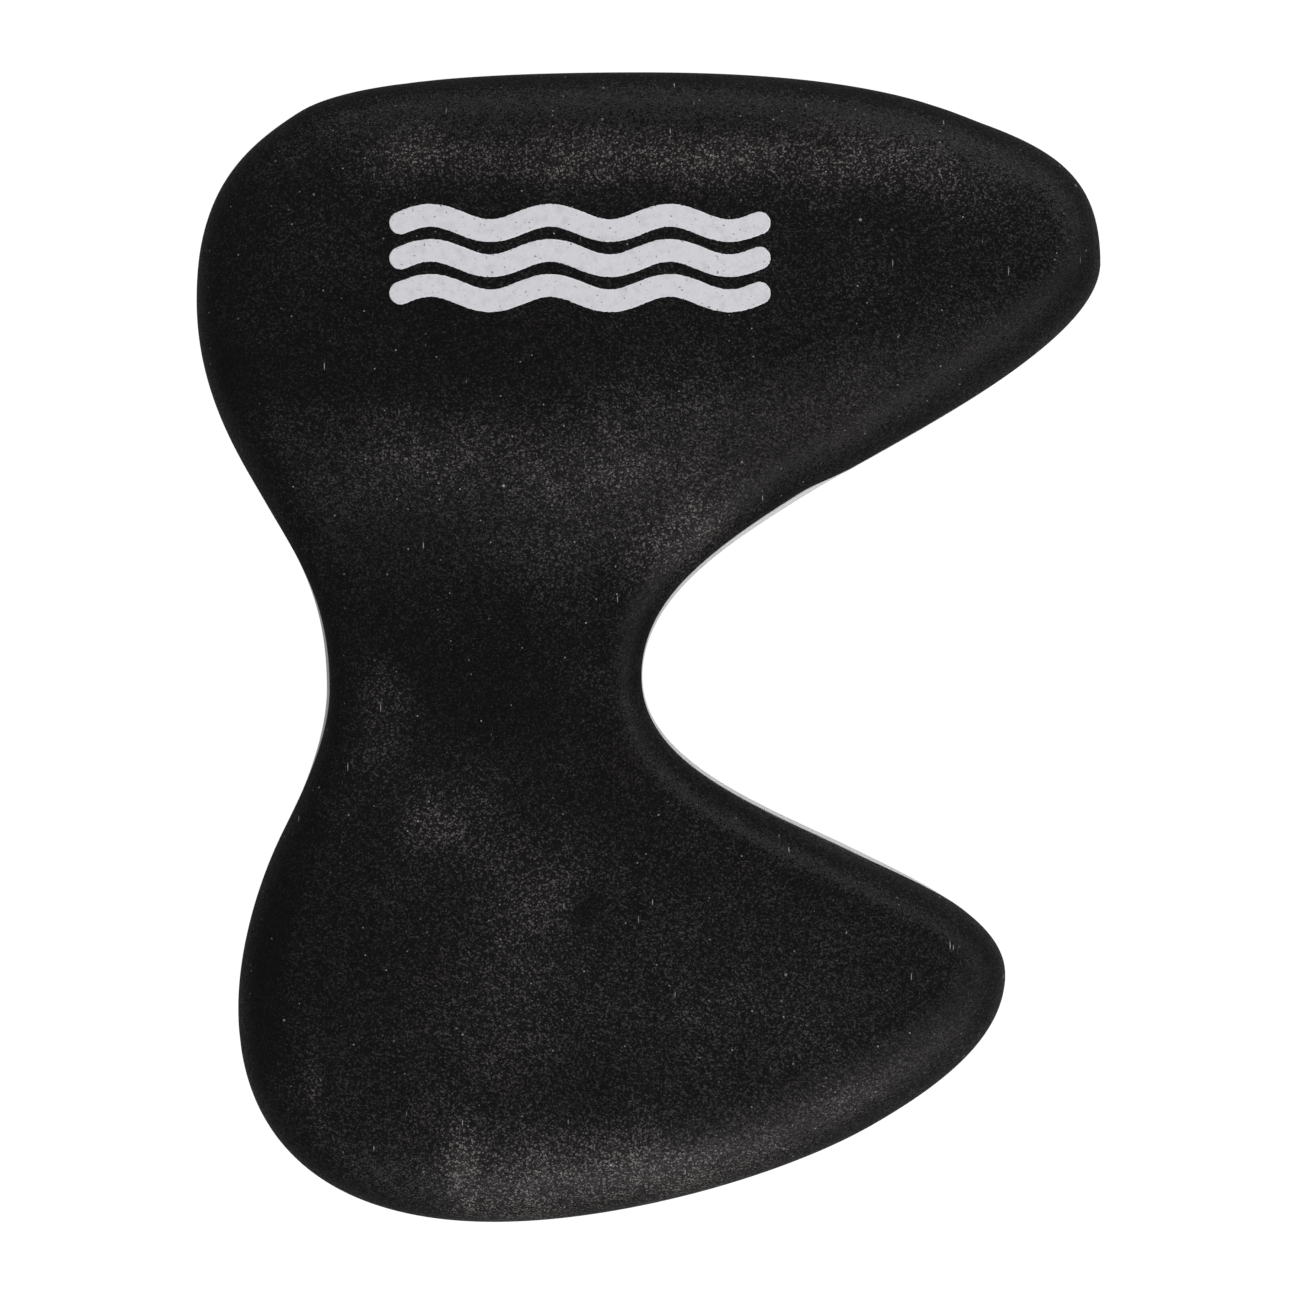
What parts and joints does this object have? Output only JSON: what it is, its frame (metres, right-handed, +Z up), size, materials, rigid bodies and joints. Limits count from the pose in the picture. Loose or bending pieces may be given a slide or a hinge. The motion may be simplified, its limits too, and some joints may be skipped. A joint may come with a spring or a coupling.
{
  "type": "pull buoy",
  "caption": "Two-lobed foam pull buoy and kickboard with flat crowns, a thin waist and a deep notch on one side, laminated from black and light grey sheets.",
  "frame": {"origin": "under the middle of the outline, on the surface that the lower face rests on", "axes": "+Z up through the thickness, +Y along the length towards the larger lobe, +X towards the open side of the notch"},
  "size_m": [0.2279, 0.29, 0.0501],
  "materials": {
    "black_foam": "matt closed-cell EVA foam, fine grain with a faint sheen",
    "grey_foam": "matt closed-cell EVA foam, light grey, cut and ground edge",
    "white_print": "screen print, off-white, slightly broken by the foam's grain"
  },
  "bodies": {
    "root": {"upper_foam_layer": "black_foam", "core_foam_layer": "grey_foam", "lower_foam_layer": "black_foam", "printed_wave_top": "white_print", "printed_wave_middle": "white_print", "printed_wave_bottom": "white_print"}
  },
  "joints": []
}
